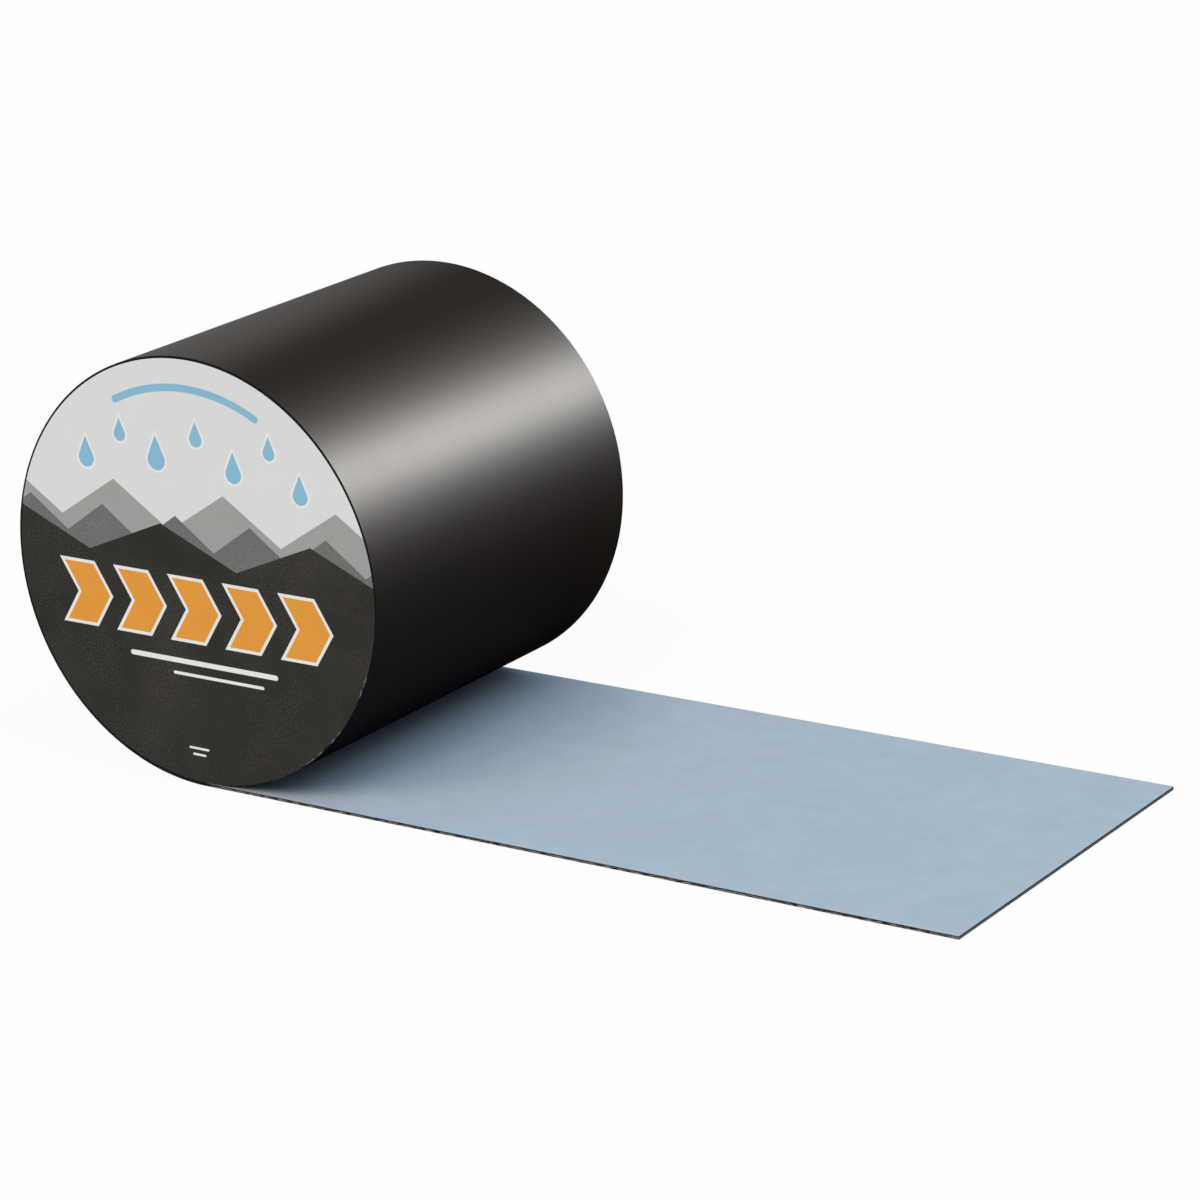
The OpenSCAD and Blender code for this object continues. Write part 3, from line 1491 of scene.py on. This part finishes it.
@dataclass
class EndLabel:
    """The paper disc on the near end.

    Attributes:
        sizes: The roll's sizes.
        lift: How far its face may lie back between its high spots.
        lift_waves: The long waves that it lies back in: slanting ones, and level ones.
        lift_slant: How far the slanting ones slant.
        rings: Divisions from its centre to its rim.
        spokes: Divisions around it.
        crowding: Power that brings the rings closer together towards the rim, below 1.
        stray: How far the cut rim may stray inwards.
        stray_waves: The waves that it strays in.
        nicks: Worn places on the rim, as (angle in degrees, half width in degrees, depth).
        face_round: How far the printed face's rim lies back.
        turn_share: Share of the thickness over which it turns back.
        back_inset: How far the glued face's rim lies in.
        crease: The angle in degrees past which an edge is sharp.
    """

    sizes: RollSizes
    lift: float = 0.09 * MM
    lift_waves: tuple[Wander, Wander] = (
        Wander(41, (0.061, 0.097, 0.21)),
        Wander(43, (0.071, 0.13)),
    )
    lift_slant: float = 0.3
    rings: int = 64
    spokes: int = 360
    crowding: float = 0.8
    stray: float = 0.05 * MM
    stray_waves: Wander = Wander(3, (np.pi / 7, np.pi / 4, np.pi / 13))
    nicks: tuple[Triple, ...] = (
        (-24.0, 1.1, 0.45 * MM),
        (-46.0, 1.8, 0.7 * MM),
        (171.0, 1.0, 0.35 * MM),
        (63.0, 0.8, 0.3 * MM),
    )
    face_round: float = 0.04 * MM
    turn_share: float = 0.35
    back_inset: float = 0.06 * MM
    crease: float = 40.0

    def rim(self, angle: np.ndarray) -> np.ndarray:
        """The label's radius, less a smooth bite at each nick and a faint wander.

        Args:
            angle: Angles round the label, from +X towards +Z.

        Returns:
            The radius at each.
        """
        radius = self.sizes.label_r - self.stray * self.stray_waves.at(angle)
        for place, half_width, depth in self.nicks:
            off = np.degrees(np.angle(np.exp(1j * (angle - np.radians(place)))))
            radius = radius - depth * np.exp(-((off / half_width) ** 2))
        return radius

    def ring_points(self) -> np.ndarray:
        """The rings of the printed face, and then the three that turn its rim to the back.

        A ring's radius is the rim's times its share of the way out to the power crowding. The
        face lies behind the foremost plane by lift times a gentle wander across and up.

        Returns:
            Points, one row a ring and one column a spoke.
        """
        s = self.sizes
        angle = np.linspace(0, 2 * np.pi, self.spokes, endpoint=False)
        share = np.linspace(0, 1, self.rings + 1)[1:, None] ** self.crowding
        rim = self.rim(angle)
        radius = np.vstack([rim * share, rim, rim, rim - self.back_inset])
        x, z = radius * np.cos(angle), radius * np.sin(angle)
        slanting, level = self.lift_waves
        y = s.label_front + self.lift * slanting.at(x + self.lift_slant * z) * level.at(z)
        y[self.rings - 1] += self.face_round
        y[self.rings] = s.label_front + self.turn_share * (s.label_back - s.label_front)
        y[self.rings + 1 :] = s.label_back
        return np.stack([x, y, s.label_z + z], -1)

    def disc(self) -> Surface:
        """The disc: its rings joined by quads, and one point that closes each side with a fan.

        Returns:
            The closed surface.
        """
        s = self.sizes
        rings = self.ring_points()
        count = len(rings)
        poles = [[0, s.label_front + self.lift / 4, s.label_z], [0, s.label_back, s.label_z]]
        points = np.concatenate([rings.reshape(-1, 3), poles])
        j = np.arange(self.spokes)
        k = (j + 1) % self.spokes
        pole, last = np.full(j.shape, count * self.spokes), (count - 1) * self.spokes
        front_fan = np.stack([pole, j, k], -1)
        back_fan = np.stack([pole + 1, last + k, last + j], -1)
        behind = np.arange(count - 1) > self.rings
        slots = [np.repeat(behind.astype(int), self.spokes), np.zeros_like(j), np.ones_like(j)]
        faces = [tube_faces(count, self.spokes), front_fan, back_fan]
        return Surface(points, faces, slots).outward()

    def build(self, finishes: Materials) -> list[bpy.types.Object]:
        """Makes the label.

        Args:
            finishes: The materials by name.

        Returns:
            The one piece.
        """
        materials = [finishes["label_print"], finishes["label_back"]]
        piece = self.disc().to_object("label_disc", materials, self.crease)
        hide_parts("end_label")
        return [piece]


# ------------------------------------------------------------
# Studio
# ------------------------------------------------------------


def direction(bearing: float, rise: float) -> Vector:
    """The unit vector at a bearing from +X towards +Y and a rise above it, both in degrees."""
    round_z, up = math.radians(bearing), math.radians(rise)
    return Vector((math.cos(round_z) * math.cos(up), math.sin(round_z) * math.cos(up), math.sin(up)))


def stand(
    name: str, data: bpy.types.ID, place: Vector, back: Vector, long_axis: Vector = UP
) -> bpy.types.Object:
    """Stands a lamp or a camera in the scene. It looks down its own -Z.

    Args:
        name: Its name.
        data: The lamp or the camera.
        place: Where it stands.
        back: The direction away from what it looks at.
        long_axis: The direction that its own Y keeps nearest to.

    Returns:
        The object.
    """
    back = back.normalized()
    side = long_axis.cross(back).normalized()
    turn = Matrix((side, back.cross(side), back)).transposed().to_4x4()
    made = bpy.data.objects.new(name, data)
    made.matrix_world = Matrix.Translation(place) @ turn
    bpy.context.scene.collection.objects.link(made)
    return made


@dataclass(frozen=True)
class GlintLamp:
    """An area lamp that only the foil mirrors.

    Attributes:
        name: The lamp's name.
        place: Where it hangs.
        aim: What it faces.
        size: Its width and its length.
        power: Watts.
        long_axis: The direction that its length follows.
    """

    name: str
    place: Triple
    aim: Triple
    size: tuple[float, float]
    power: float
    long_axis: Triple = (0.0, 1.0, 0.0)

    def build(self, lit: bpy.types.Collection) -> None:
        """Hangs the lamp.

        Args:
            lit: The pieces that it lights.
        """
        data = bpy.data.lights.new(self.name, "AREA")
        data.shape, data.size, data.size_y, data.energy = "RECTANGLE", *self.size, self.power
        place = Vector(self.place)
        lamp = stand(self.name, data, place, place - Vector(self.aim), Vector(self.long_axis))
        lamp.visible_camera = False
        lamp.visible_diffuse = False
        lamp.light_linking.receiver_collection = lit


@dataclass(frozen=True)
class FarLight:
    """A broad light from far off, too soft to throw an edge, which gives no glints.

    Attributes:
        name: The light's name.
        strength: Its strength on a surface that faces it.
        bearing: Degrees from +X towards +Y that it stands at.
        rise: Degrees that it stands above the floor.
        colour: Its colour.
        spread: The angle in degrees that it fills.
    """

    name: str
    strength: float
    bearing: float
    rise: float
    colour: Triple
    spread: float = 40.0

    def build(self) -> None:
        """Hangs the light."""
        data = bpy.data.lights.new(self.name, "SUN")
        data.energy, data.angle, data.color = self.strength, math.radians(self.spread), self.colour
        light = stand(self.name, data, Vector(), direction(self.bearing, self.rise))
        light.visible_glossy = False


@dataclass
class Studio:
    """The floor, the light and the camera.

    A strip's glint runs along the roll, a weak card lights its left shoulder, and two cards
    before the label give the foil a sheen from behind. Of the two broad lights, one stands
    before the label, and one over the end of the loose tape.

    Attributes:
        floor_reach: Half the floor's side.
        floor_gap: How far the floor lies under the roll.
        sky_seen: Colour of the sky on matt surfaces.
        sky_reflected: Colour of the sky in reflections, dim as the walls of a dark studio are.
        backdrop: Colour of the sky behind the floor.
        glint_lamps: The lamps that the foil mirrors.
        far_lights: The broad lights.
        lens: Focal length in millimetres.
        film_w: Width of the film in millimetres.
        clip: The nearest and the farthest distance that the camera sees.
        aim: The point that the camera faces.
        distance: How far the camera is from it.
        bearing: Degrees from +X towards +Y that the camera looks.
        dip: Degrees that it looks down.
        bank: Degrees that it is rolled, with its right side up.
    """

    floor_reach: float = 12.0
    floor_gap: float = 0.02 * MM
    sky_seen: Colour = (0.33, 0.373, 0.43, 1.0)
    sky_reflected: Colour = (0.0225, 0.0135, 0.0085, 1.0)
    backdrop: Colour = (1.0, 1.0, 1.0, 1.0)
    glint_lamps: tuple[GlintLamp, ...] = (
        GlintLamp(
            name="strip_lamp",
            place=(0.792, 1.042, 0.6865),
            aim=(0.0, 1.042, 0.075),
            size=(0.105, 1.044),
            power=6.85,
            long_axis=(0.221, 0.938, -0.269),
        ),
        GlintLamp("shoulder_lamp", (-0.504, 0.221, 0.344), (0.0, 0.0, 0.15), (0.627, 0.688), 0.445),
        GlintLamp("near_left_card", (-0.45, -0.73, 0.75), (0.0, 0.0, 0.075), (0.25, 0.6), 1.3),
        GlintLamp("near_right_card", (0.5, -0.73, 0.75), (0.0, 0.0, 0.075), (0.25, 0.6), 0.6),
    )
    far_lights: tuple[FarLight, ...] = (
        FarLight("front_light", 1.527, bearing=-90.0, rise=45.0, colour=(1.18, 1.0, 0.77)),
        FarLight("right_light", 1.078, bearing=0.0, rise=55.0, colour=(0.93, 1.0, 1.08)),
    )
    lens: float = 132.567
    film_w: float = 36.0
    clip: tuple[float, float] = (0.01, 100.0)
    aim: Triple = (0.1122, 0.0, 0.0615)
    distance: float = 1.4787
    bearing: float = 123.191
    dip: float = 17.674
    bank: float = -1.756

    def floor(self) -> None:
        """Lays the plain pale floor just under the roll."""
        r, z = self.floor_reach, -self.floor_gap
        points = np.array([[-r, -r, z], [r, -r, z], [r, r, z], [-r, r, z]])
        sheet = Surface(points, [np.array([[0, 1, 2, 3]])], [np.array([0])])
        floor = sheet.to_object("studio_floor", [PaleFloor().material()], crease=40.0)

    def sky(self) -> None:
        """Spreads an even sky, which the camera, reflections and matt surfaces see each its way."""
        world = bpy.data.worlds.new("studio_sky")
        world.use_nodes = True
        world.node_tree.nodes.clear()
        graph = Graph(world.node_tree)
        path = graph.node("LightPath").outputs
        lit = graph.blend(path["Is Glossy Ray"], self.sky_seen, self.sky_reflected)
        colour = graph.blend(path["Is Camera Ray"], lit, self.backdrop)
        light = graph.node("Background", {"Color": colour}).outputs[0]
        graph.node("OutputWorld", {"Surface": light})
        bpy.context.scene.world = world

    def lamps(self) -> None:
        """Hangs the lamps. Those that only the foil mirrors are linked to its pieces."""
        foil = bpy.data.collections.new("mirroring_pieces")
        for piece in bpy.data.objects:
            if piece.name.startswith("foil"):
                foil.objects.link(piece)
        for lamp in self.glint_lamps:
            lamp.build(foil)
        for light in self.far_lights:
            light.build()

    def camera(self) -> None:
        """Stands the camera at distance from its aim, along its view's direction."""
        data = bpy.data.cameras.new("camera")
        data.lens, data.sensor_width = self.lens, self.film_w
        data.clip_start, data.clip_end = self.clip
        ahead = direction(self.bearing, -self.dip)
        camera = stand("camera", data, Vector(self.aim) - ahead * self.distance, -ahead)
        camera.matrix_world @= Matrix.Rotation(math.radians(self.bank), 4, "Z")
        bpy.context.scene.camera = camera

    def build(self) -> None:
        """Sets the whole studio up, with colours shown as they are."""
        self.floor()
        self.sky()
        self.lamps()
        self.camera()
        bpy.context.scene.view_settings.view_transform = "Standard"


# ------------------------------------------------------------
# The whole
# ------------------------------------------------------------


def report(piece: bpy.types.Object) -> None:
    """Logs a piece's name, its triangles and its size in millimetres.

    Args:
        piece: The piece.
    """
    piece.data.calc_loop_triangles()
    size = " x ".join(f"{side / MM:.1f}" for side in piece.dimensions)
    LOG.info("%s: %d triangles, %s mm", piece.name, len(piece.data.loop_triangles), size)


def main() -> None:
    """Builds the finishes, the sub-assemblies and the studio in order."""
    logging.basicConfig(level=logging.INFO, format="%(message)s", stream=sys.stdout)
    sizes = RollSizes.from_frame(frame["record"])
    effects = Effects()
    finishes = {
        finish.name: finish(effects, sizes).material()
        for finish in (LacqueredFoil, CutFoil, Bitumen, LinerFilm, PaperBack, PrintedPaper)
    }
    for assembly in (WoundTape(sizes, Winding(sizes)), ReleaseLiner(sizes), EndLabel(sizes)):
        for piece in assembly.build(finishes):
            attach(piece, BODY)
            report(piece)
    Studio().build()


if __name__ == "__main__":
    main()
